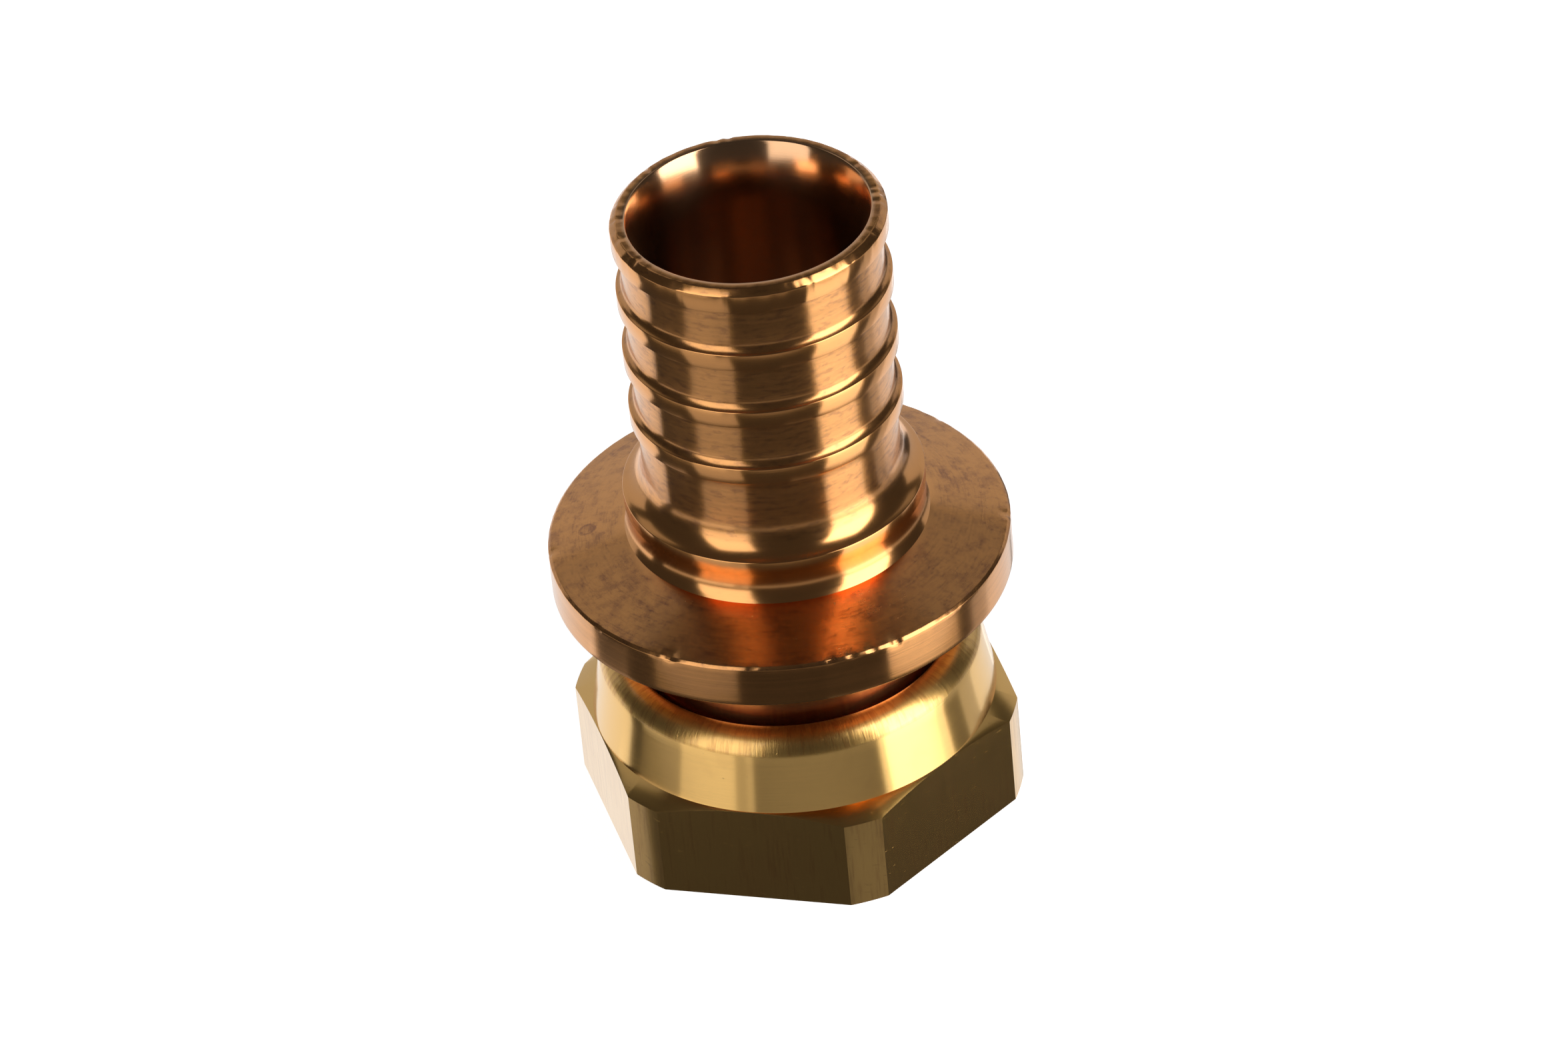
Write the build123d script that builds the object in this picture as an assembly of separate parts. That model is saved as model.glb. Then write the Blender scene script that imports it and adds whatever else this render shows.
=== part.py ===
from build123d import *
import math
import os

# Axial-press pipe adapter with a captive swivel union nut.
# Millimetres. +Z runs up the spigot. The origin is on the axis, in the nut's open end face.

# --- Spigot ---------------------------------------------------------------------------------------
BORE_R = 7.7            # waterway through the whole body
MOUTH_R = 8.8           # bell mouth at the top face
MOUTH_DEPTH = 4.4       # height over which the bell runs into the bore
LAND_R = 9.9            # rim land and rib lands
ROOT_R = 9.4            # cylinder between the ribs
TOP_Z = 50.8            # top face
RIM_CHAMFER = 0.45      # outer edge of the top face
RIM_LAND_END_Z = 48.95  # sharp lower edge of the rim land
RIB_PITCH = 5.0         # from one land's lower edge to the next
RIB_COUNT = 3
RIB_LAND = 1.3          # width of a rib's land
RIB_FILLET_R = 0.7      # hollow above each rib

# --- Shoulder ring --------------------------------------------------------------------------------
RING_R = 11.0
RING_TOP_Z = 27.75
RING_LAND = 1.15
RING_SWEEP_START_Z = 30.0   # where the hollow above the ring leaves the root
RING_ROOT_R = 10.55         # short cylinder under the ring
RING_ROOT_LENGTH = 0.9

# --- Flange ---------------------------------------------------------------------------------------
FLANGE_R = 16.9
FLANGE_CONE_R = 11.15       # inner end of the conical top
FLANGE_CONE_Z = 24.25
FLANGE_RIM_TOP_Z = 22.75
FLANGE_BOTTOM_Z = 19.35
FLANGE_EDGE = 0.2           # edge break on the rim

# --- Neck and collar, inside the nut --------------------------------------------------------------
NECK_R = 11.2
NECK_FILLET_R = 0.5
COLLAR_R = 12.75
COLLAR_TOP_Z = 11.6
COLLAR_BOTTOM_Z = 9.2
COLLAR_EDGE = 0.25
TAIL_CHAMFER = 0.4          # bore edge at the sealing face

# --- Union nut ------------------------------------------------------------------------------------
HEX_AF = 30.0               # across flats
HEX_CORNER_R = 16.55        # the corners are turned down to this radius
HEX_CORNER_TOP_Z = 7.3      # where the corner strips end
TAPER_BASE_R = 14.95        # foot of the tapered barrel above the hexagon
TAPER_BASE_Z = 8.0
TAPER_TOP_R = 14.15
TAPER_TOP_Z = 12.3
LIP_R = 11.93               # opening around the neck
LIP_TOP_Z = 13.85
LIP_BOTTOM_Z = 12.25
LIP_EDGE_R = 0.35
CHAMBER_R = 13.05           # pocket for the collar and the washer
THREAD_TOP_Z = 7.2          # shoulder that carries the washer
THREAD_MINOR_R = 24.6 / 2   # G 3/4 parallel pipe thread, bored near the top of its tolerance
THREAD_MAJOR_R = 26.441 / 2
THREAD_PITCH = 1.814
THREAD_FLANK_ANGLE = 55.0   # between the two flanks
THREAD_START_ANGLE = 60.0   # where the groove begins, round from +X
THREAD_END_GAP = 0.05       # from the end of the groove to the top of the relief
RELIEF_R = 13.35            # turned relief that the thread runs out into
RELIEF_BOTTOM_Z = 5.5
RELIEF_TOP_Z = 6.4
MOUTH_CHAMFER_R = 13.45     # countersink at the open end

# --- Sealing washer -------------------------------------------------------------------------------
WASHER_INNER_R = 8.3
WASHER_OUTER_R = 12.75


def at(radius, z):
    """A point of a turned profile, in the XZ plane."""
    return Vector(radius, 0, z)


def turned(*edges):
    """The solid swept by a closed profile of edges as it turns about the Z axis."""
    outline = Wire(edges)
    return revolve(Face(outline), Axis.Z)


def polyline(*points):
    """Straight edges through the points."""
    return [Line(a, b) for a, b in zip(points, points[1:])]


def hollow(start, end):
    """An arc that leaves a cylinder vertically at start and sweeps out and down to end."""
    return TangentArc(start, end, tangent=(0, 0, -1))


def body_outside():
    """Outer edges of the body from the top face down to the sealing face."""
    edges = []
    corner = at(LAND_R, TOP_Z - RIM_CHAMFER)
    edges += polyline(at(MOUTH_R, TOP_Z), at(LAND_R - RIM_CHAMFER, TOP_Z), corner)
    land_end = RIM_LAND_END_Z
    for _ in range(RIB_COUNT):
        rib_end = land_end - RIB_PITCH
        rib_top = at(LAND_R, rib_end + RIB_LAND)
        depth = LAND_R - ROOT_R
        rise = math.sqrt(RIB_FILLET_R**2 - (RIB_FILLET_R - depth) ** 2)
        sweep_start = at(ROOT_R, rib_end + RIB_LAND + rise)
        edges += polyline(corner, at(LAND_R, land_end), at(ROOT_R, land_end), sweep_start)
        edges.append(hollow(sweep_start, rib_top))
        corner = rib_top
        land_end = rib_end
    ring_end_z = RING_TOP_Z - RING_LAND
    sweep_start = at(ROOT_R, RING_SWEEP_START_Z)
    ring_top = at(RING_R, RING_TOP_Z)
    flange_sweep = at(RING_ROOT_R, ring_end_z - RING_ROOT_LENGTH)
    cone_start = at(FLANGE_CONE_R, FLANGE_CONE_Z)
    edges += polyline(corner, at(LAND_R, land_end), at(ROOT_R, land_end), sweep_start)
    edges.append(hollow(sweep_start, ring_top))
    edges += polyline(ring_top, at(RING_R, ring_end_z), at(RING_ROOT_R, ring_end_z), flange_sweep)
    edges.append(hollow(flange_sweep, cone_start))
    neck_top = at(NECK_R + NECK_FILLET_R, FLANGE_BOTTOM_Z)
    neck_side = at(NECK_R, FLANGE_BOTTOM_Z - NECK_FILLET_R)
    edges += polyline(
        cone_start,
        at(FLANGE_R - FLANGE_EDGE, FLANGE_RIM_TOP_Z + FLANGE_EDGE / 2),
        at(FLANGE_R, FLANGE_RIM_TOP_Z - FLANGE_EDGE / 2),
        at(FLANGE_R, FLANGE_BOTTOM_Z + FLANGE_EDGE),
        at(FLANGE_R - FLANGE_EDGE, FLANGE_BOTTOM_Z),
        neck_top,
    )
    edges.append(TangentArc(neck_top, neck_side, tangent=(-1, 0, 0)))
    edges += polyline(
        neck_side,
        at(NECK_R, COLLAR_TOP_Z),
        at(COLLAR_R - COLLAR_EDGE, COLLAR_TOP_Z),
        at(COLLAR_R, COLLAR_TOP_Z - COLLAR_EDGE),
        at(COLLAR_R, COLLAR_BOTTOM_Z + COLLAR_EDGE),
        at(COLLAR_R - COLLAR_EDGE, COLLAR_BOTTOM_Z),
        at(BORE_R + TAIL_CHAMFER, COLLAR_BOTTOM_Z),
    )
    return edges


def adapter_body():
    """Spigot, shoulder ring, flange, neck and collar: one turned piece."""
    tail = at(BORE_R + TAIL_CHAMFER, COLLAR_BOTTOM_Z)
    bore_bottom = at(BORE_R, COLLAR_BOTTOM_Z + TAIL_CHAMFER)
    bell_start = at(BORE_R, TOP_Z - MOUTH_DEPTH)
    inside = polyline(tail, bore_bottom, bell_start)
    bell = TangentArc(bell_start, at(MOUTH_R, TOP_Z), tangent=(0, 0, 1))
    return turned(*body_outside(), *inside, bell)


def nut_turning():
    """The nut's turned shape before its flats are cut, with the hexagon zone left at corner radius."""
    chamfer_height = MOUTH_CHAMFER_R - THREAD_MINOR_R
    lip_start = at(TAPER_TOP_R, TAPER_TOP_Z)
    lip_end = at(LIP_R + LIP_EDGE_R, LIP_TOP_Z)
    lip_inner = at(LIP_R, LIP_TOP_Z - LIP_EDGE_R)
    outside = polyline(
        at(MOUTH_CHAMFER_R, 0),
        at(HEX_CORNER_R, 0),
        at(HEX_CORNER_R, HEX_CORNER_TOP_Z),
        at(TAPER_BASE_R, TAPER_BASE_Z),
        lip_start,
    )
    rolled_lip = TangentArc(lip_end, lip_start, tangent=(1, 0, 0))
    lip_edge = TangentArc(lip_end, lip_inner, tangent=(-1, 0, 0))
    inside = polyline(
        lip_inner,
        at(LIP_R, LIP_BOTTOM_Z),
        at(CHAMBER_R, LIP_BOTTOM_Z),
        at(CHAMBER_R, THREAD_TOP_Z),
        at(THREAD_MINOR_R, THREAD_TOP_Z),
        at(THREAD_MINOR_R, RELIEF_TOP_Z),
        at(RELIEF_R, RELIEF_TOP_Z),
        at(RELIEF_R, RELIEF_BOTTOM_Z),
        at(THREAD_MINOR_R, RELIEF_BOTTOM_Z),
        at(THREAD_MINOR_R, chamfer_height),
        at(MOUTH_CHAMFER_R, 0),
    )
    return turned(*outside, rolled_lip, lip_edge, *inside)


def thread_groove():
    """Helical groove of the internal thread, from below the nut's mouth into the relief."""
    overlap = 0.3
    slope = math.tan(math.radians(THREAD_FLANK_ANGLE / 2))
    root_half = THREAD_PITCH / 12
    crest_half = root_half + (THREAD_MAJOR_R - THREAD_MINOR_R) * slope
    mouth_half = crest_half + overlap * slope
    section = Polyline(
        at(THREAD_MINOR_R - overlap, -mouth_half),
        at(THREAD_MAJOR_R, -root_half),
        at(THREAD_MAJOR_R, root_half),
        at(THREAD_MINOR_R - overlap, mouth_half),
        close=True,
    )
    length = RELIEF_TOP_Z - crest_half - THREAD_END_GAP + THREAD_PITCH
    helix = Helix(pitch=THREAD_PITCH, height=length, radius=THREAD_MINOR_R)
    groove = sweep(Face(Wire(section.edges())), path=helix, is_frenet=True)
    return Pos(0, 0, -THREAD_PITCH) * Rot(0, 0, THREAD_START_ANGLE) * groove


def union_nut():
    """Hexagon nut with a rolled-in lip, a collar chamber, a thread relief and an internal pipe thread."""
    hexagon = extrude(RegularPolygon(HEX_AF / 2, 6, major_radius=False), LIP_TOP_Z)
    return (nut_turning() & hexagon) - thread_groove()


def sealing_washer():
    """Flat washer between the collar and the nut's shoulder."""
    thickness = COLLAR_BOTTOM_Z - THREAD_TOP_Z
    ring = Circle(WASHER_OUTER_R) - Circle(WASHER_INNER_R)
    return Pos(0, 0, THREAD_TOP_Z) * extrude(ring, thickness)


NODES = {
    "adapter_body": adapter_body,
    "union_nut": union_nut,
    "sealing_washer": sealing_washer,
}


def main():
    os.makedirs("parts", exist_ok=True)
    for name, build in NODES.items():
        export_step(build(), f"parts/{name}.step")


main()
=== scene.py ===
"""Press-sleeve pipe adapter with a captive union nut: the finished model and its studio."""
import math
import random

import bmesh
import bpy
from bpy.props import FloatProperty, FloatVectorProperty, IntProperty, PointerProperty
from mathutils import Matrix, Quaternion, Vector


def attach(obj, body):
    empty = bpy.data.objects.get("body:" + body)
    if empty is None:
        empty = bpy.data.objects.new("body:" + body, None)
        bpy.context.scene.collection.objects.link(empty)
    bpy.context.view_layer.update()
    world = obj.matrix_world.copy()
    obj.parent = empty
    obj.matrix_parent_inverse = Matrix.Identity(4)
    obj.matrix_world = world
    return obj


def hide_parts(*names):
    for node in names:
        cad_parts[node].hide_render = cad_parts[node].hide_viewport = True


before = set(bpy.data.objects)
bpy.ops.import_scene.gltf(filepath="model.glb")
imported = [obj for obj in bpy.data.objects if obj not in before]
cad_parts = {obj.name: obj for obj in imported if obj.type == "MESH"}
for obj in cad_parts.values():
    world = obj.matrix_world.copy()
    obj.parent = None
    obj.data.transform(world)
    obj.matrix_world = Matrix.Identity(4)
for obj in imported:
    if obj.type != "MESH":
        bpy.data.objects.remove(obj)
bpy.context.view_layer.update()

bl_info = {
    "name": "Union nut pipe adapter",
    "version": (1, 0, 0),
    "blender": (4, 5, 0),
    "location": "3D View > Sidebar > Pipe adapter",
    "description": "Models a ribbed pipe spigot with a stop flange and a captive swivel nut",
    "category": "Object",
}

MM = 0.001

# Heights and small sizes of the body, from the plane of the nut's open end.
TOP_Z = 50.8 * MM
MOUTH_DEPTH = 4.4 * MM
RIM_CHAMFER = 0.45 * MM
RIM_LAND_END_Z = 48.95 * MM
RIB_COUNT = 3
RIB_PITCH = 5.0 * MM
RIB_LAND = 1.3 * MM
RIB_HOLLOW_R = 0.7 * MM
RING_SWEEP_Z = 30.0 * MM
RING_TOP_Z = 27.75 * MM
RING_LAND = 1.15 * MM
RING_ROOT_R = 10.55 * MM
RING_ROOT_LENGTH = 0.9 * MM
FLANGE_CONE_R = 11.15 * MM
FLANGE_CONE_Z = 24.25 * MM
FLANGE_RIM_Z = 22.75 * MM
FLANGE_BOTTOM_Z = 19.35 * MM
FLANGE_EDGE = 0.2 * MM
NECK_HOLLOW_R = 0.5 * MM
COLLAR_TOP_Z = 11.6 * MM
COLLAR_BOTTOM_Z = 9.2 * MM
COLLAR_EDGE = 0.25 * MM
TAIL_CHAMFER = 0.4 * MM

# Heights and small sizes of the nut.
CORNER_TOP_Z = 7.3 * MM
TAPER_BASE_R = 14.95 * MM
TAPER_BASE_Z = 8.0 * MM
TAPER_TOP_R = 14.15 * MM
TAPER_TOP_Z = 12.3 * MM
LIP_TOP_Z = 13.85 * MM
LIP_BOTTOM_Z = 12.25 * MM
LIP_EDGE_R = 0.35 * MM
CHAMBER_R = 13.05 * MM
SHOULDER_Z = 7.2 * MM
RELIEF_R = 13.35 * MM
RELIEF_BOTTOM_Z = 5.5 * MM
RELIEF_TOP_Z = 6.4 * MM
COUNTERSINK_R = 13.45 * MM
FLANK_SLOPE = math.tan(math.radians(55 / 2))
THREAD_START = math.radians(60)
THREAD_OVERLAP = 0.3 * MM           # the cutter starts this far inside the crests
THREAD_END_GAP = 0.05 * MM          # from the end of the groove to the top of the relief

# Rounding of the machined edges.
CRISP = 0.04 * MM
EASED = 0.08 * MM
SOFT = 0.15 * MM
ROUND_SEGMENTS = 3
HEX_EDGE = 0.07 * MM

WELD = 0.0001 * MM
SMOOTH_ANGLE = math.radians(28)
SHARP_ANGLE = math.radians(15)      # a sharper edge than this on the hexagon is broken
FLAT_TOLERANCE = 0.02 * MM
FLAT_DEPTH = 0.5 * MM               # a flat's faces lie no further in than this
UPRIGHT_LIMIT = 0.01                # rise of the normal on an upright face

# Marks that handling has left on the flange's upper edge: angle round from +X in degrees, and width
# and depth in millimetres.
FLANGE_NICKS = (
    (-105.3, 0.75, 0.16),
    (-47.0, 0.7, 0.13),
    (-64.5, 0.4, 0.08),
    (-59.2, 0.4, 0.09),
    (-53.4, 0.45, 0.08),
    (-84.0, 0.35, 0.06),
    (-128.0, 0.5, 0.07),
    (12.0, 0.6, 0.1),
    (58.0, 0.5, 0.09),
    (97.0, 0.7, 0.12),
    (141.0, 0.45, 0.08),
    (-162.0, 0.6, 0.1),
)
NICK_DROP = 0.7         # downward push, as a share of the inward one
NICK_SPREAD = 1.6       # patch that moves, as a share of the nick's width

# Small dents scattered round the rim of the spigot.
RIM_DENTS = 14
RIM_DENT_SEED = 7
RIM_DENT_DEPTHS = (0.03, 0.07)
RIM_DENT_WIDTH = 0.8 * MM

# Wear of the two edges that stand out: how deep, how coarse, and how far from the edge it reaches.
EDGE_WEAR = 0.05 * MM
FLANGE_WEAR_GRAIN = 0.5 * MM
FLANGE_WEAR_IN = 0.15 * MM
FLANGE_WEAR_DOWN = 0.2 * MM
RIM_WEAR_GRAIN = 0.6 * MM
RIM_WEAR_REACH = 1.2 * RIM_CHAMFER

# Round stain on the flange's top, in millimetres from the axis.
STAIN_X = -13.62
STAIN_Y = -3.07

# The two tall strips of light: bearings to the right of the camera in degrees, and heights and
# distance from the axis in millimetres.
RIGHT_STRIP = (42, 80)
LEFT_STRIP = (-62, -24)
STRIP_HEIGHTS = (20, 560)
STRIP_DISTANCE = 350

# The other panels of light: name, bearings, heights and distance as above, and radiance.
PANELS = (
    ("right_strip_foot", (42, 80), (-130, 20), 350, 1.4),
    ("right_card", (42, 80), (-16, 20), 60, 1.4),
    ("right_middle", (84, 140), (-140, -40), 350, 0.4),
    ("right_low", (102, 118), (-350, -140), 350, 0.45),
    ("right_back", (118, 158), (-600, -250), 600, 0.85),
    ("right_corner", (15, 40), (-45, -24), 60, 0.14),
    ("front_low", (-30, 42), (-130, -40), 350, 0.25),
    ("left_card", (-62, -24), (-16, 20), 60, 0.4),
    ("left_middle", (-62, -36), (-130, -40), 350, 0.5),
    ("left_low", (-94, -62), (-130, -40), 350, 0.5),
    ("left_corner", (-106, -80), (-45, -18), 60, 0.3),
    ("back_panel", (-204, -106), (-600, -50), 600, 0.9),
    ("rear_panel", (121, 239), (-50, 455), 600, 0.43),
    ("rear_left_top", (195, 240), (455, 950), 600, 0.3),
    ("rear_right_top", (125, 165), (455, 950), 600, 0.22),
)

# Where the camera aims, beside the axis.
AIM_X = 0.38 * MM
AIM_Y = 0.11 * MM


def length(name, description, millimetres):
    """A length property with its default in millimetres."""
    return FloatProperty(
        name=name, description=description, default=millimetres * MM, min=0, unit="LENGTH", precision=5
    )


def angle(name, description, degrees):
    """An angle property with its default in degrees."""
    return FloatProperty(
        name=name, description=description, default=math.radians(degrees), subtype="ANGLE"
    )


def colour(name, description, *rgb):
    """A colour property."""
    return FloatVectorProperty(
        name=name, description=description, default=rgb, min=0, max=1, subtype="COLOR"
    )


class BodySizes(bpy.types.PropertyGroup):
    """Radii of the turned body."""

    bore: length("Bore", "Radius of the waterway", 7.7)
    mouth: length("Mouth", "Radius of the bell mouth at the top face", 8.8)
    land: length("Land", "Radius of the rim and of the ribs", 9.9)
    root: length("Root", "Radius of the spigot between its ribs", 9.4)
    ring: length("Shoulder ring", "Radius of the ring above the flange", 11.0)
    flange: length("Flange", "Radius of the stop flange", 16.9)
    neck: length("Neck", "Radius of the neck inside the nut's lip", 11.2)
    collar: length("Collar", "Radius of the collar that holds the nut", 12.75)
    steps: IntProperty(name="Steps", description="Facets round the axis", default=336, min=24)


class NutSizes(bpy.types.PropertyGroup):
    """Sizes of the union nut."""

    across_flats: length("Across flats", "Spanner size", 30.0)
    corner: length("Corners", "Radius that the corners are turned down to", 16.55)
    lip: length("Lip", "Radius of the opening around the neck", 11.93)
    thread_minor: length("Thread crest", "Radius of the thread's crests", 12.3)
    thread_major: length("Thread root", "Radius of the thread's roots", 13.2205)
    pitch: length("Thread pitch", "Height of one turn", 1.814)
    steps: IntProperty(name="Steps", description="Facets round the axis", default=360, min=24)


class WasherSizes(bpy.types.PropertyGroup):
    """Sizes of the sealing washer."""

    inner: length("Inner", "Radius of the hole", 8.3)
    outer: length("Outer", "Outside radius", 12.75)
    steps: IntProperty(name="Steps", description="Facets round the axis", default=160, min=24)


class FinishColours(bpy.types.PropertyGroup):
    """Colours of the metals and the rubber."""

    gunmetal: colour("Gunmetal", "Clean turned gunmetal", 0.88, 0.41, 0.135)
    # Oxidised gunmetal; also the colour of the painted shade on the neck under the flange.
    tarnish_and_shade: colour("Tarnish", "Oxidised gunmetal", 0.42, 0.18, 0.085)
    brass: colour("Brass", "Clean yellow brass", 0.93, 0.56, 0.17)
    stained_brass: colour("Stained brass", "Brass darkened by rolling and handling", 0.62, 0.3, 0.09)
    bore: colour("Bore", "Bored surface of the waterway", 0.68, 0.45, 0.29)
    rubber: colour("Rubber", "Sealing rubber", 0.018, 0.018, 0.02)


class StageSettings(bpy.types.PropertyGroup):
    """Camera and light."""

    azimuth: angle("Azimuth", "Direction of the camera from the axis, round from +X", -73.81)
    elevation: angle("Elevation", "Height of the camera above the horizon", 36.845)
    roll: angle("Roll", "Turn of the camera about its own axis", -5.646)
    distance: length("Distance", "From the camera to its aim", 582.33)
    aim: length("Aim height", "Height of the point that the camera aims at", 23.05)
    lens: FloatProperty(name="Lens", description="Focal length in millimetres", default=183.67)
    key: FloatProperty(name="Key", description="Radiance of the right strip", default=3.6)
    fill: FloatProperty(name="Fill", description="Radiance of the left strip", default=1.4)


# --- Shader trees ---------------------------------------------------------------------------------


class Term:
    """A value in a shader tree. Arithmetic on it adds Math nodes."""

    def __init__(self, finish, socket):
        self.finish = finish
        self.socket = socket

    def math(self, operation, first, second=0.0):
        """Add a Math node that works on two values."""
        return self.finish.node(
            "ShaderNodeMath", {"operation": operation}, {"Value": first, "Value_001": second}
        )

    def __add__(self, other):
        return self.math("ADD", self, other)

    def __radd__(self, other):
        return self.math("ADD", other, self)

    def __sub__(self, other):
        return self.math("SUBTRACT", self, other)

    def __rsub__(self, other):
        return self.math("SUBTRACT", other, self)

    def __mul__(self, other):
        return self.math("MULTIPLY", self, other)

    def __rmul__(self, other):
        return self.math("MULTIPLY", other, self)

    def __truediv__(self, other):
        return self.math("DIVIDE", self, other)

    def __rtruediv__(self, other):
        return self.math("DIVIDE", other, self)

    def __pow__(self, other):
        return self.math("POWER", self, other)


class Finish:
    """A material and the nodes that draw its surface. Its patterns work in millimetres."""

    def __init__(self, name):
        self.material = bpy.data.materials.new(name)
        self.material.use_nodes = True
        self.tree = self.material.node_tree
        self.tree.nodes.clear()
        place = self.node("ShaderNodeTexCoord", output="Object")
        self.place = self.node(
            "ShaderNodeVectorMath", {"operation": "SCALE"}, {"Vector": place, "Scale": 1 / MM}, "Vector"
        )
        self.x, self.y, self.z = (
            self.node("ShaderNodeSeparateXYZ", sockets={"Vector": self.place}, output=axis)
            for axis in "XYZ"
        )
        self.r = (self.x * self.x + self.y * self.y) ** 0.5
        self.east = self.x / self.r
        self.north = self.y / self.r

    def node(self, kind, settings=None, sockets=None, output="Value"):
        """Add a node, with its settings first and then its sockets, and return one of its outputs."""
        node = self.tree.nodes.new(kind)
        for name, value in (settings or {}).items():
            setattr(node, name, value)
        inputs = {socket.identifier: socket for socket in node.inputs}
        for name, value in (sockets or {}).items():
            if isinstance(value, Term):
                self.tree.links.new(value.socket, inputs[name])
            else:
                inputs[name].default_value = value
        outputs = {socket.identifier: socket for socket in node.outputs}
        return Term(self, outputs[output])

    def vector(self, x, y, z):
        """A vector from three values."""
        return self.node("ShaderNodeCombineXYZ", sockets={"X": x, "Y": y, "Z": z}, output="Vector")

    def noise(self, vector, scale=1.0, detail=2.0, roughness=0.5, distortion=0.0):
        """Noise between 0 and 1."""
        sockets = {
            "Vector": vector,
            "Scale": scale,
            "Detail": detail,
            "Roughness": roughness,
            "Distortion": distortion,
        }
        return self.node("ShaderNodeTexNoise", sockets=sockets, output="Fac")

    def ramp(self, value, low, high):
        """0 up to low, 1 from high on, and a smooth step between."""
        sockets = {"Value": value, "From Min": low, "From Max": high}
        return self.node("ShaderNodeMapRange", {"interpolation_type": "SMOOTHSTEP"}, sockets, "Result")

    def band(self, value, low, high, soft):
        """1 between low and high, falling to 0 over soft on each side."""
        return self.ramp(value, low - soft, low) * (1 - self.ramp(value, high, high + soft))

    def mix(self, factor, first, second):
        """A colour between first and second."""
        sockets = {"Factor_Float": factor, "A_Color": first, "B_Color": second}
        return self.node("ShaderNodeMix", {"data_type": "RGBA"}, sockets, "Result_Color")

    def shade(self, colour_term, brightness):
        """A colour made brighter or darker by a value."""
        grey = self.vector(brightness, brightness, brightness)
        settings = {"data_type": "RGBA", "blend_type": "MULTIPLY"}
        sockets = {"Factor_Float": 1.0, "A_Color": colour_term, "B_Color": grey}
        return self.node("ShaderNodeMix", settings, sockets, "Result_Color")

    def turning(self, density, around=1.5, detail=2.0):
        """Lines that a lathe tool leaves, so many to a millimetre along the section."""
        along = (self.z + self.r * 0.73) * density
        return self.noise(self.vector(self.east * around, self.north * around, along), detail=detail)

    def bump(self, height):
        """A normal from a height in millimetres."""
        return self.node(
            "ShaderNodeBump", sockets={"Strength": 1.0, "Distance": MM, "Height": height}, output="Normal"
        )

    def surface(self, **sockets):
        """The shader that ends the tree. Each keyword is a socket, with _ for a space."""
        named = {name.replace("_", " "): value for name, value in sockets.items()}
        return self.end(self.node("ShaderNodeBsdfPrincipled", sockets=named, output="BSDF"))

    def end(self, shader):
        """Link a shader to the material's output and return the material."""
        output = self.tree.nodes.new("ShaderNodeOutputMaterial")
        self.tree.links.new(shader.socket, output.inputs["Surface"])
        return self.material


def opaque(rgb):
    """A colour property's value with a full alpha."""
    return (*rgb, 1.0)


def gunmetal_finish(colours):
    """Turned gunmetal: polished lands, duller roots, a tarnished flange and a neck darkened with painted
    shade.
    """
    finish = Finish("gunmetal")
    z, r = finish.z, finish.r
    clouds = finish.noise(finish.place, scale=0.32, detail=6, roughness=0.62, distortion=0.6)
    specks = finish.noise(finish.place, scale=2.6, detail=4, roughness=0.65)
    fine_lines = finish.turning(14, around=2.2)
    broad_lines = finish.turning(3.2, around=0.8)

    spigot = finish.ramp(z, 27.0, 29.5)
    inside = 1 - finish.ramp(r, 8.85, 9.15)
    land = finish.ramp(r, 9.72, 9.88)
    root = spigot * (1 - land) * (1 - inside)
    flange_top = finish.ramp(r, 11.1, 11.8) * finish.ramp(z, 22.55, 22.75)
    flange_side = finish.ramp(r, 16.7, 16.86)
    # Below the flange and outside the bore: the neck and collar, which get painted shade.
    neck = (1 - finish.ramp(z, 19.0, 19.5)) * (1 - inside)

    depth_inside = inside * (1 - finish.ramp(z, 38.0, 47.0))

    blotches = finish.ramp(clouds, 0.42, 0.7)
    marks = finish.ramp(specks, 0.52, 0.72)
    smears = finish.ramp(finish.noise(finish.vector(finish.x, finish.y, z * 3.2), detail=5), 0.45, 0.68)
    tarnish_and_shade = blotches * (0.12 + 0.12 * flange_top) + marks * (0.2 * root + 0.26 * flange_top)
    # Darker smears, and painted shade on the neck between the flange and the nut.
    tarnish_and_shade = tarnish_and_shade + smears * (0.12 + 0.3 * root) + 0.45 * neck
    patina = finish.ramp(finish.noise(finish.place, scale=0.9, detail=7, roughness=0.68), 0.4, 0.66)
    arcs = finish.noise(
        finish.vector(finish.x * 0.5, finish.y * 0.5, (r + clouds * 0.35) * 5.5), detail=3, roughness=0.6
    )
    tarnish_and_shade = tarnish_and_shade + flange_top * (0.34 * patina + 0.22 * finish.ramp(arcs, 0.48, 0.7))

    stain_x = finish.x - STAIN_X
    stain_y = finish.y - STAIN_Y
    stain_distance = (stain_x * stain_x + stain_y * stain_y) ** 0.5 + (specks - 0.5) * 0.5
    stain = (1 - finish.ramp(stain_distance, 0.45, 0.75)) * flange_top
    ring_of_stain = finish.band(stain_distance, 0.5, 0.62, 0.12) * flange_top
    tarnish_and_shade = tarnish_and_shade + 0.25 * stain + 0.3 * ring_of_stain

    base = finish.mix(finish.ramp(tarnish_and_shade, 0, 1), opaque(colours.gunmetal), opaque(colours.tarnish_and_shade))
    base = finish.shade(base, 1 - 0.3 * broad_lines * (root + flange_side))
    base = finish.mix(0.6 * inside + 0.3 * depth_inside, base, opaque(colours.bore))

    roughness = 0.17 + 0.05 * root + 0.08 * flange_top + 0.08 * neck + 0.06 * depth_inside
    roughness = roughness + 0.08 * (clouds - 0.5) + 0.08 * (specks - 0.5) * (root + flange_top)
    roughness = roughness + 0.07 * (fine_lines - 0.5)

    height = 0.0016 * fine_lines + 0.0018 * broad_lines * flange_side
    height = height + 0.0022 * specks * root + 0.005 * arcs * flange_top + 0.0015 * clouds
    return finish.surface(
        Base_Color=base,
        Metallic=1.0,
        Roughness=roughness,
        Anisotropic=0.7,
        Anisotropic_Rotation=0.25,
        Coat_Weight=0.35,
        Coat_Roughness=0.1,
        Normal=finish.bump(height),
    )


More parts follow.
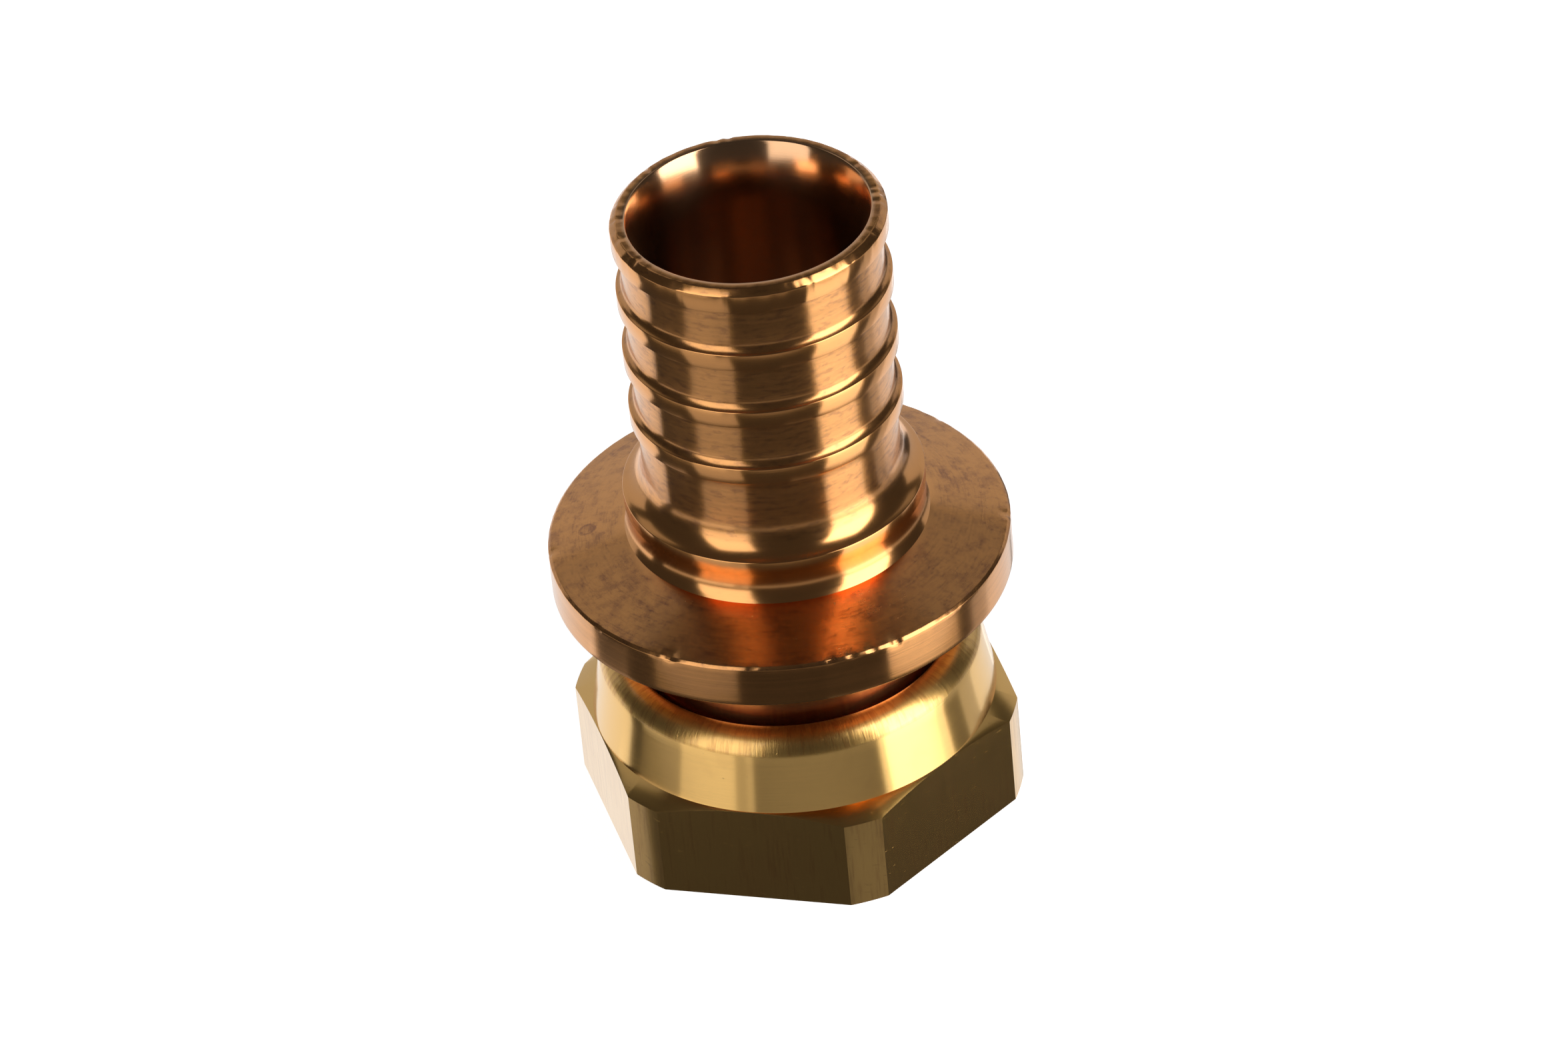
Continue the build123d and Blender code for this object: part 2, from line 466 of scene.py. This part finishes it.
def brass_finish(colours):
    """Turned brass: a tapered polished barrel under a rolled lip with radial marks."""
    finish = Finish("nut_brass")
    z, r = finish.z, finish.r
    clouds = finish.noise(finish.place, scale=0.3, detail=5, roughness=0.6, distortion=0.5)
    specks = finish.noise(finish.place, scale=3.0, detail=3, roughness=0.6)
    lines = finish.turning(11, around=1.6)
    roll_marks = finish.noise(
        finish.vector(finish.east * 34, finish.north * 34, r * 0.45), detail=4, roughness=0.7
    )

    lip = finish.ramp(z, 12.35, 12.6)
    mouth_of_lip = lip * (1 - finish.ramp(r + roll_marks * 0.6, 12.6, 13.7))
    inside = 1 - finish.ramp(r, 13.4, 13.6)
    # Clouded stains, the darker mouth of the rolled lip, and the nut's inside below the lip made darker.
    stain = finish.ramp(clouds, 0.5, 0.72) * 0.18 + 0.62 * mouth_of_lip + 0.3 * inside * (1 - lip)
    stain = stain + 0.5 * lip * finish.ramp(roll_marks, 0.42, 0.62)

    base = finish.mix(finish.ramp(stain, 0, 1), opaque(colours.brass), opaque(colours.stained_brass))
    roughness = 0.17 + 0.1 * lip + 0.05 * (clouds - 0.5) + 0.05 * (lines - 0.5)
    roughness = roughness + 0.06 * lip * roll_marks
    dents = finish.ramp(specks, 0.7, 0.8)
    height = 0.0011 * lines * (1 - lip) + 0.014 * roll_marks * lip - 0.006 * dents + 0.0015 * clouds
    return finish.surface(
        Base_Color=base,
        Metallic=1.0,
        Roughness=roughness,
        Anisotropic=0.7,
        Anisotropic_Rotation=0.25,
        Coat_Weight=0.5,
        Coat_Roughness=0.1,
        Normal=finish.bump(height),
    )


def flat_finish(colours):
    """Drawn brass of the spanner flats, with faint upright streaks."""
    finish = Finish("nut_flats")
    clouds = finish.noise(finish.place, scale=0.22, detail=4, roughness=0.6)
    streaks = finish.noise(
        finish.vector(finish.x * 3.5, finish.y * 3.5, finish.z * 0.25), detail=4, roughness=0.6
    )
    scratches = finish.noise(
        finish.vector(finish.x * 0.8, finish.y * 0.8, (finish.z + finish.x * 0.3) * 9), detail=2
    )
    stain = 0.2 * finish.ramp(clouds, 0.4, 0.7) + 0.4 * finish.ramp(streaks, 0.48, 0.7)
    base = finish.mix(stain, opaque(colours.brass), opaque(colours.stained_brass))
    roughness = 0.2 + 0.1 * (streaks - 0.5) + 0.08 * (clouds - 0.5)
    height = 0.0012 * streaks + 0.0025 * finish.ramp(scratches, 0.68, 0.76)
    return finish.surface(
        Base_Color=base,
        Metallic=1.0,
        Roughness=roughness,
        Coat_Weight=0.7,
        Coat_Roughness=0.1,
        Normal=finish.bump(height),
    )


def rubber_finish(colours):
    """Matt moulded rubber with a slight grain and pale dust."""
    finish = Finish("washer_rubber")
    grain = finish.noise(finish.place, scale=4.5, detail=4, roughness=0.6)
    dust = finish.ramp(finish.noise(finish.place, scale=0.7, detail=5, roughness=0.65), 0.5, 0.75)
    base = finish.mix(0.25 * dust, opaque(colours.rubber), (0.16, 0.15, 0.14, 1.0))
    return finish.surface(
        Base_Color=base,
        Roughness=0.55 + 0.2 * (grain - 0.5) + 0.15 * dust,
        Specular_IOR_Level=0.4,
        Normal=finish.bump(0.006 * grain),
    )


# --- Modelling ------------------------------------------------------------------------------------


def corner(radius, height, rounding=0.0):
    """A corner of a section."""
    return (radius, height, rounding)


def run(start, end, pieces):
    """Points that divide a straight stretch of a section, without its ends."""
    start, end = Vector(start[:2]), Vector(end[:2])
    return [corner(*start.lerp(end, step / pieces)) for step in range(1, pieces)]


def sweep(start, end, tangent, pieces):
    """Points between start and end on the arc that leaves start along tangent."""
    start, end = Vector(start[:2]), Vector(end[:2])
    tangent = Vector(tangent).normalized()
    normal = Vector((-tangent.y, tangent.x))
    chord = end - start
    centre = start + normal * (chord.length_squared / (2 * chord.dot(normal)))
    turn = 2 * math.atan2(chord.dot(normal), chord.dot(tangent))
    points = []
    for step in range(1, pieces):
        points.append(corner(*(centre + Matrix.Rotation(turn * step / pieces, 2) @ (start - centre))))
    return points


def select_points(piece, places):
    """Select only the vertices nearest to the places."""
    bpy.ops.mesh.select_all(action="DESELECT")
    mesh = bmesh.from_edit_mesh(piece.data)
    for place in places:
        min(mesh.verts, key=lambda vertex: (vertex.co - place).length_squared).select = True
    mesh.select_flush(True)
    bmesh.update_edit_mesh(piece.data)


def draw_section(name, section):
    """A new object in edit mode that holds the closed section, drawn in the XZ plane."""
    bpy.ops.object.select_all(action="DESELECT")
    bpy.ops.mesh.primitive_plane_add(size=MM, location=(0, 0, 0))
    piece = bpy.context.object
    piece.name = name
    piece.data.name = name
    bpy.ops.object.mode_set(mode="EDIT")
    bpy.ops.mesh.select_all(action="SELECT")
    bpy.ops.mesh.merge(type="CENTER")
    places = [Vector((radius, 0, height)) for radius, height, _ in section]
    bpy.ops.transform.translate(value=places[0])
    for here, there in zip(places, places[1:]):
        bpy.ops.mesh.extrude_vertices_move(TRANSFORM_OT_translate={"value": there - here})
    select_points(piece, (places[0], places[-1]))
    bpy.ops.mesh.edge_face_add()
    for rounding in sorted({point[2] for point in section} - {0.0}):
        select_points(piece, [place for place, point in zip(places, section) if point[2] == rounding])
        bpy.ops.mesh.bevel(affect="VERTICES", offset=rounding, segments=ROUND_SEGMENTS)
    return piece


def spin_section(steps):
    """Turn the open edit mesh's section about the Z axis into a closed solid."""
    bpy.ops.mesh.select_all(action="SELECT")
    bpy.ops.mesh.spin(steps=steps, angle=math.tau, center=(0, 0, 0), axis=(0, 0, 1))
    close_up()


def close_up():
    """Merge doubles in the open edit mesh and turn its faces outwards."""
    bpy.ops.mesh.select_all(action="SELECT")
    bpy.ops.mesh.remove_doubles(threshold=WELD)
    bpy.ops.mesh.normals_make_consistent(inside=False)


def press_in(piece, place, push, width):
    """Dent the open edit mesh by push, over a patch of the given width."""
    select_points(piece, [place])
    bpy.ops.transform.translate(
        value=push,
        use_proportional_edit=True,
        proportional_edit_falloff="SMOOTH",
        proportional_size=width / 2,
    )


def round_place(radius, degrees, height):
    """A point from its radius, its angle round the axis and its height."""
    turn = math.radians(degrees)
    return Vector((radius * math.cos(turn), radius * math.sin(turn), height))


def apply_modifier(piece, kind, **settings):
    """Add a modifier with these settings and apply it."""
    modifier = piece.modifiers.new(kind.title(), kind)
    for name, value in settings.items():
        setattr(modifier, name, value)
    bpy.ops.object.modifier_apply(modifier=modifier.name)


def wear_edges(piece, name, belongs, strength, grain):
    """Roughen the vertices that belong() picks, by up to strength."""
    bpy.ops.object.mode_set(mode="OBJECT")
    group = piece.vertex_groups.new(name=name)
    group.add([v.index for v in piece.data.vertices if belongs(v.co)], 1.0, "REPLACE")
    texture = bpy.data.textures.new(name, "CLOUDS")
    texture.noise_scale = grain
    apply_modifier(
        piece, "DISPLACE", texture=texture, strength=strength, mid_level=0.5, vertex_group=group.name
    )


def finish_piece(piece, body, slot, node, *materials):
    """Shade the piece, give it its materials and hand it to the frame."""
    bpy.ops.object.mode_set(mode="OBJECT")
    for material in materials:
        piece.data.materials.append(material)
    bpy.ops.object.shade_smooth_by_angle(angle=SMOOTH_ANGLE)
    apply_modifier(piece, "WEIGHTED_NORMAL", keep_sharp=True, weight=80)
    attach(piece, body)
    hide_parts(node)


def body_section(sizes):
    """The body's section: out over the rim, down the outside and up through the bore."""
    rim = corner(sizes.land, TOP_Z - RIM_CHAMFER, EASED)
    points = [corner(sizes.mouth, TOP_Z, EASED), corner(sizes.land - RIM_CHAMFER, TOP_Z, EASED), rim]
    depth = sizes.land - sizes.root
    rise = math.sqrt(RIB_HOLLOW_R**2 - (RIB_HOLLOW_R - depth) ** 2)
    land_end = RIM_LAND_END_Z
    for _ in range(RIB_COUNT):
        rib_end = land_end - RIB_PITCH
        start = corner(sizes.root, rib_end + RIB_LAND + rise)
        top = corner(sizes.land, rib_end + RIB_LAND, CRISP)
        points += [corner(sizes.land, land_end, CRISP), corner(sizes.root, land_end, CRISP)]
        points += run(points[-1], start, 4)
        points += [start, *sweep(start, top, (0, -1), 6), top]
        land_end = rib_end
    ring_end = RING_TOP_Z - RING_LAND
    start = corner(sizes.root, RING_SWEEP_Z)
    top = corner(sizes.ring, RING_TOP_Z, CRISP)
    points += [corner(sizes.land, land_end, CRISP), corner(sizes.root, land_end, CRISP)]
    points += run(points[-1], start, 4)
    points += [start, *sweep(start, top, (0, -1), 10), top]
    points += [corner(sizes.ring, ring_end, CRISP), corner(RING_ROOT_R, ring_end, CRISP)]
    start = corner(RING_ROOT_R, ring_end - RING_ROOT_LENGTH)
    top = corner(FLANGE_CONE_R, FLANGE_CONE_Z)
    edge = corner(sizes.flange - FLANGE_EDGE, FLANGE_RIM_Z + FLANGE_EDGE / 2, CRISP)
    side = corner(sizes.flange, FLANGE_RIM_Z - FLANGE_EDGE / 2, CRISP)
    low = corner(sizes.flange, FLANGE_BOTTOM_Z + FLANGE_EDGE, CRISP)
    points += [start, *sweep(start, top, (0, -1), 8), top, *run(top, edge, 14), edge, side]
    points += [*run(side, low, 10), low, corner(sizes.flange - FLANGE_EDGE, FLANGE_BOTTOM_Z, CRISP)]
    start = corner(sizes.neck + NECK_HOLLOW_R, FLANGE_BOTTOM_Z)
    end = corner(sizes.neck, FLANGE_BOTTOM_Z - NECK_HOLLOW_R)
    points += [start, *sweep(start, end, (-1, 0), 5), end]
    points += [
        corner(sizes.neck, COLLAR_TOP_Z, CRISP),
        corner(sizes.collar - COLLAR_EDGE, COLLAR_TOP_Z, CRISP),
        corner(sizes.collar, COLLAR_TOP_Z - COLLAR_EDGE, CRISP),
        corner(sizes.collar, COLLAR_BOTTOM_Z + COLLAR_EDGE, CRISP),
        corner(sizes.collar - COLLAR_EDGE, COLLAR_BOTTOM_Z, CRISP),
        corner(sizes.bore + TAIL_CHAMFER, COLLAR_BOTTOM_Z, CRISP),
        corner(sizes.bore, COLLAR_BOTTOM_Z + TAIL_CHAMFER, CRISP),
    ]
    start = corner(sizes.bore, TOP_Z - MOUTH_DEPTH)
    points += [*run(points[-1], start, 8), start, *sweep(start, points[0], (0, 1), 14)]
    return points


def nut_section(sizes):
    """The nut's turned section: up the outside, over the lip and down through the thread's bore."""
    lip_start = corner(TAPER_TOP_R, TAPER_TOP_Z)
    lip_end = corner(sizes.lip + LIP_EDGE_R, LIP_TOP_Z)
    lip_inner = corner(sizes.lip, LIP_TOP_Z - LIP_EDGE_R)
    foot = corner(TAPER_BASE_R, TAPER_BASE_Z)
    points = [
        corner(COUNTERSINK_R, 0, CRISP),
        corner(sizes.corner, 0),
        corner(sizes.corner, CORNER_TOP_Z),
        foot,
    ]
    points += [*run(foot, lip_start, 8), lip_start]
    points += reversed(sweep(lip_end, lip_start, (1, 0), 14))
    points += [lip_end, *sweep(lip_end, lip_inner, (-1, 0), 5), lip_inner]
    points += [
        corner(sizes.lip, LIP_BOTTOM_Z, CRISP),
        corner(CHAMBER_R, LIP_BOTTOM_Z, CRISP),
        corner(CHAMBER_R, SHOULDER_Z, CRISP),
        corner(sizes.thread_minor, SHOULDER_Z, CRISP),
        corner(sizes.thread_minor, RELIEF_TOP_Z, CRISP),
        corner(RELIEF_R, RELIEF_TOP_Z, CRISP),
        corner(RELIEF_R, RELIEF_BOTTOM_Z, CRISP),
        corner(sizes.thread_minor, RELIEF_BOTTOM_Z, CRISP),
        corner(sizes.thread_minor, COUNTERSINK_R - sizes.thread_minor),
    ]
    return points


def cut_flats(piece, sizes):
    """Cut the hexagon's six flats and break their edges."""
    for side in range(6):
        normal = round_place(1, 60 * side + 30, 0)
        bpy.ops.mesh.select_all(action="SELECT")
        bpy.ops.mesh.bisect(
            plane_co=normal * sizes.across_flats / 2,
            plane_no=normal,
            use_fill=True,
            clear_outer=True,
            threshold=WELD,
        )
    close_up()
    bpy.ops.mesh.select_all(action="DESELECT")
    bpy.ops.mesh.select_mode(type="EDGE")
    mesh = bmesh.from_edit_mesh(piece.data)
    least_radius = sizes.across_flats / 2 - FLAT_TOLERANCE
    for edge in mesh.edges:
        middle = (edge.verts[0].co + edge.verts[1].co) / 2
        sharp = edge.is_manifold and edge.calc_face_angle() > SHARP_ANGLE
        edge.select_set(sharp and middle.xy.length > least_radius)
    bmesh.update_edit_mesh(piece.data)
    bpy.ops.mesh.bevel(affect="EDGES", offset=HEX_EDGE, segments=2, clamp_overlap=True)
    bpy.ops.mesh.select_mode(type="VERT")


def cut_thread(nut, sizes):
    """Cut the helical groove of the internal thread."""
    root = sizes.pitch / 12
    crest = root + (sizes.thread_major - sizes.thread_minor) * FLANK_SLOPE
    mouth = crest + THREAD_OVERLAP * FLANK_SLOPE
    inner = sizes.thread_minor - THREAD_OVERLAP
    section = [
        corner(inner, -sizes.pitch - mouth),
        corner(sizes.thread_major, -sizes.pitch - root),
        corner(sizes.thread_major, -sizes.pitch + root),
        corner(inner, -sizes.pitch + mouth),
    ]
    cutter = draw_section("thread_cutter", section)
    bpy.ops.object.mode_set(mode="OBJECT")
    cutter.rotation_euler.z = THREAD_START
    bpy.ops.object.transform_apply(location=False, rotation=True, scale=False)
    rise = RELIEF_TOP_Z - crest - THREAD_END_GAP + sizes.pitch
    turns = rise / sizes.pitch
    apply_modifier(
        cutter,
        "SCREW",
        angle=math.tau * turns,
        screw_offset=rise,
        steps=round(sizes.steps * turns / 2),
        use_merge_vertices=False,
    )
    bpy.ops.object.mode_set(mode="EDIT")
    bpy.ops.mesh.select_all(action="SELECT")
    bpy.ops.mesh.fill_holes(sides=0)
    close_up()
    bpy.ops.object.mode_set(mode="OBJECT")
    bpy.ops.object.select_all(action="DESELECT")
    bpy.context.view_layer.objects.active = nut
    nut.select_set(True)
    apply_modifier(nut, "BOOLEAN", object=cutter, operation="DIFFERENCE", solver="EXACT")
    bpy.data.objects.remove(cutter)


# --- Operators ------------------------------------------------------------------------------------


class PIPEADAPTER_OT_body(bpy.types.Operator):
    """Turn the adapter body: spigot, shoulder ring, flange, neck and collar"""

    bl_idname = "pipe_adapter.body"
    bl_label = "Adapter body"

    def execute(self, context):
        sizes = context.scene.pipe_adapter_body
        piece = draw_section("turned_adapter_body", body_section(sizes))
        spin_section(sizes.steps)
        edge_z = FLANGE_RIM_Z + FLANGE_EDGE / 4
        edge_r = sizes.flange - FLANGE_EDGE / 2
        for degrees, width, depth in FLANGE_NICKS:
            push = round_place(-depth * MM, degrees, -NICK_DROP * depth * MM)
            press_in(piece, round_place(edge_r, degrees, edge_z), push, width * MM * NICK_SPREAD)
        rim_r = sizes.land - RIM_CHAMFER / 2
        draws = random.Random(RIM_DENT_SEED)
        for _ in range(RIM_DENTS):
            degrees = draws.uniform(0, 360)
            depth = draws.uniform(*RIM_DENT_DEPTHS)
            push = round_place(-depth * MM, degrees, -depth * MM)
            press_in(piece, round_place(rim_r, degrees, TOP_Z), push, RIM_DENT_WIDTH)
        wear_edges(
            piece,
            "flange_edge",
            lambda co: co.xy.length > edge_r - FLANGE_WEAR_IN and co.z > FLANGE_RIM_Z - FLANGE_WEAR_DOWN,
            strength=EDGE_WEAR,
            grain=FLANGE_WEAR_GRAIN,
        )
        wear_edges(
            piece,
            "rim_edge",
            lambda co: co.xy.length > sizes.land - RIM_WEAR_REACH and co.z > TOP_Z - RIM_WEAR_REACH,
            strength=EDGE_WEAR,
            grain=RIM_WEAR_GRAIN,
        )
        material = gunmetal_finish(context.scene.pipe_adapter_colours)
        finish_piece(piece, "adapter", "gunmetal", "adapter_body", material)
        return {"FINISHED"}


class PIPEADAPTER_OT_nut(bpy.types.Operator):
    """Make the captive union nut, with its flats, rolled lip and internal thread"""

    bl_idname = "pipe_adapter.nut"
    bl_label = "Union nut"

    def execute(self, context):
        sizes = context.scene.pipe_adapter_nut
        colours = context.scene.pipe_adapter_colours
        piece = draw_section("swivel_union_nut", nut_section(sizes))
        spin_section(sizes.steps)
        cut_flats(piece, sizes)
        bpy.ops.object.mode_set(mode="OBJECT")
        cut_thread(piece, sizes)
        finish_piece(
            piece, "nut", "nut_brass", "union_nut", brass_finish(colours), flat_finish(colours)
        )
        for face in piece.data.polygons:
            upright = abs(face.normal.z) < UPRIGHT_LIMIT
            outside = face.center.xy.length > sizes.across_flats / 2 - FLAT_DEPTH
            if upright and outside and face.center.z < TAPER_BASE_Z:
                face.material_index = 1
        return {"FINISHED"}


class PIPEADAPTER_OT_washer(bpy.types.Operator):
    """Make the sealing washer between the collar and the nut's shoulder"""

    bl_idname = "pipe_adapter.washer"
    bl_label = "Sealing washer"

    def execute(self, context):
        sizes = context.scene.pipe_adapter_washer
        section = [
            corner(sizes.inner, SHOULDER_Z, SOFT),
            corner(sizes.outer, SHOULDER_Z, SOFT),
            corner(sizes.outer, COLLAR_BOTTOM_Z, SOFT),
            corner(sizes.inner, COLLAR_BOTTOM_Z, SOFT),
        ]
        piece = draw_section("rubber_sealing_washer", section)
        spin_section(sizes.steps)
        material = rubber_finish(context.scene.pipe_adapter_colours)
        finish_piece(piece, "washer", "washer_rubber", "sealing_washer", material)
        return {"FINISHED"}


def softbox(name, camera, bearings, heights, distance, radiance):
    """An upright panel of light, between two bearings to the right of the camera and two heights."""
    low, high = heights
    start, end = (math.radians(bearing) for bearing in bearings)
    lamp = bpy.data.lights.new(name, "AREA")
    lamp.shape = "RECTANGLE"
    lamp.size = 2 * distance * math.tan((end - start) / 2) * MM
    lamp.size_y = (high - low) * MM
    lamp.energy = radiance * math.pi * lamp.size * lamp.size_y
    light = bpy.data.objects.new(name, lamp)
    bpy.context.scene.collection.objects.link(light)
    away = direction(camera + (start + end) / 2, 0)
    light.location = (away * distance + Vector((0, 0, (low + high) / 2))) * MM
    light.rotation_euler = away.to_track_quat("Z", "Y").to_euler()
    light.visible_camera = False


def direction(bearing, elevation):
    """The unit vector at an angle round from +X and an angle above the horizon."""
    level = math.cos(elevation)
    return Vector((math.cos(bearing) * level, math.sin(bearing) * level, math.sin(elevation)))


def make_world():
    """A pale surround for the camera and a dim one for reflections."""
    world = bpy.data.worlds.new("studio")
    world.use_nodes = True
    tree = world.node_tree
    tree.nodes.clear()
    path = tree.nodes.new("ShaderNodeLightPath")
    dim = tree.nodes.new("ShaderNodeBackground")
    dim.inputs["Color"].default_value = (0.048, 0.046, 0.043, 1.0)
    pale = tree.nodes.new("ShaderNodeBackground")
    pale.inputs["Color"].default_value = (1.0, 1.0, 1.0, 1.0)
    mix = tree.nodes.new("ShaderNodeMixShader")
    output = tree.nodes.new("ShaderNodeOutputWorld")
    tree.links.new(path.outputs["Is Camera Ray"], mix.inputs["Fac"])
    tree.links.new(dim.outputs["Background"], mix.inputs[1])
    tree.links.new(pale.outputs["Background"], mix.inputs[2])
    tree.links.new(mix.outputs["Shader"], output.inputs["Surface"])
    bpy.context.scene.world = world


def make_floor():
    """A pale floor that glows a little, so that shadows on it stay faint."""
    bpy.ops.object.select_all(action="DESELECT")
    bpy.ops.mesh.primitive_circle_add(vertices=96, radius=3.0, fill_type="NGON", location=(0, 0, 0))
    floor = bpy.context.object
    floor.name = "pale_floor"
    finish = Finish("pale_floor")
    pale = finish.node(
        "ShaderNodeEmission", sockets={"Color": (1.0, 1.0, 1.0, 1.0), "Strength": 0.9}, output="Emission"
    )
    chalk = finish.node("ShaderNodeBsdfDiffuse", sockets={"Color": (0.5, 0.5, 0.5, 1.0)}, output="BSDF")
    top = finish.node(
        "ShaderNodeAddShader", sockets={"Shader": pale, "Shader_001": chalk}, output="Shader"
    )
    clear = finish.node("ShaderNodeBsdfTransparent", output="BSDF")
    seen_from_below = finish.node("ShaderNodeNewGeometry", output="Backfacing")
    sockets = {"Fac": seen_from_below, "Shader": top, "Shader_001": clear}
    floor.data.materials.append(
        finish.end(finish.node("ShaderNodeMixShader", sockets=sockets, output="Shader"))
    )
    floor.visible_glossy = False
    floor.visible_shadow = False


def make_camera(settings):
    """The camera, aimed at a point close to the axis."""
    data = bpy.data.cameras.new("camera")
    data.sensor_width = 36
    data.lens = settings.lens
    data.clip_start = 0.01
    data.clip_end = 20
    camera = bpy.data.objects.new("camera", data)
    bpy.context.scene.collection.objects.link(camera)
    away = direction(settings.azimuth, settings.elevation)
    camera.location = Vector((AIM_X, AIM_Y, settings.aim)) + away * settings.distance
    level = away.to_track_quat("Z", "Y")
    camera.rotation_euler = (level @ Quaternion((0, 0, 1), settings.roll)).to_euler()
    bpy.context.scene.camera = camera


class PIPEADAPTER_OT_stage(bpy.types.Operator):
    """Set up the floor, the surround, the panels of light and the camera"""

    bl_idname = "pipe_adapter.stage"
    bl_label = "Stage"

    def execute(self, context):
        settings = context.scene.pipe_adapter_stage
        make_world()
        make_floor()
        make_camera(settings)
        camera = settings.azimuth
        for name, bearings, heights, distance, radiance in PANELS:
            softbox(name, camera, bearings, heights, distance, radiance)
        softbox("right_strip", camera, RIGHT_STRIP, STRIP_HEIGHTS, STRIP_DISTANCE, settings.key)
        softbox("left_strip", camera, LEFT_STRIP, STRIP_HEIGHTS, STRIP_DISTANCE, settings.fill)
        context.scene.view_settings.view_transform = "Standard"
        return {"FINISHED"}


class PIPEADAPTER_PT_panel(bpy.types.Panel):
    """Lists the pieces of the pipe adapter"""

    bl_idname = "PIPEADAPTER_PT_panel"
    bl_label = "Pipe adapter"
    bl_space_type = "VIEW_3D"
    bl_region_type = "UI"
    bl_category = "Pipe adapter"

    def draw(self, context):
        for operator in OPERATORS:
            self.layout.operator(operator.bl_idname)


GROUPS = {
    "pipe_adapter_body": BodySizes,
    "pipe_adapter_nut": NutSizes,
    "pipe_adapter_washer": WasherSizes,
    "pipe_adapter_colours": FinishColours,
    "pipe_adapter_stage": StageSettings,
}
OPERATORS = (PIPEADAPTER_OT_body, PIPEADAPTER_OT_nut, PIPEADAPTER_OT_washer, PIPEADAPTER_OT_stage)
CLASSES = (*GROUPS.values(), *OPERATORS, PIPEADAPTER_PT_panel)


def register():
    """Add the add-on's classes and the scene's settings."""
    for item in CLASSES:
        bpy.utils.register_class(item)
    for name, group in GROUPS.items():
        setattr(bpy.types.Scene, name, PointerProperty(type=group))


def unregister():
    """Take the scene's settings and the classes away again."""
    for name in GROUPS:
        delattr(bpy.types.Scene, name)
    for item in reversed(CLASSES):
        bpy.utils.unregister_class(item)


def main():
    """Build the stage and the pieces."""
    register()
    bpy.ops.pipe_adapter.stage()
    bpy.ops.pipe_adapter.body()
    bpy.ops.pipe_adapter.washer()
    bpy.ops.pipe_adapter.nut()


if __name__ == "__main__":
    main()
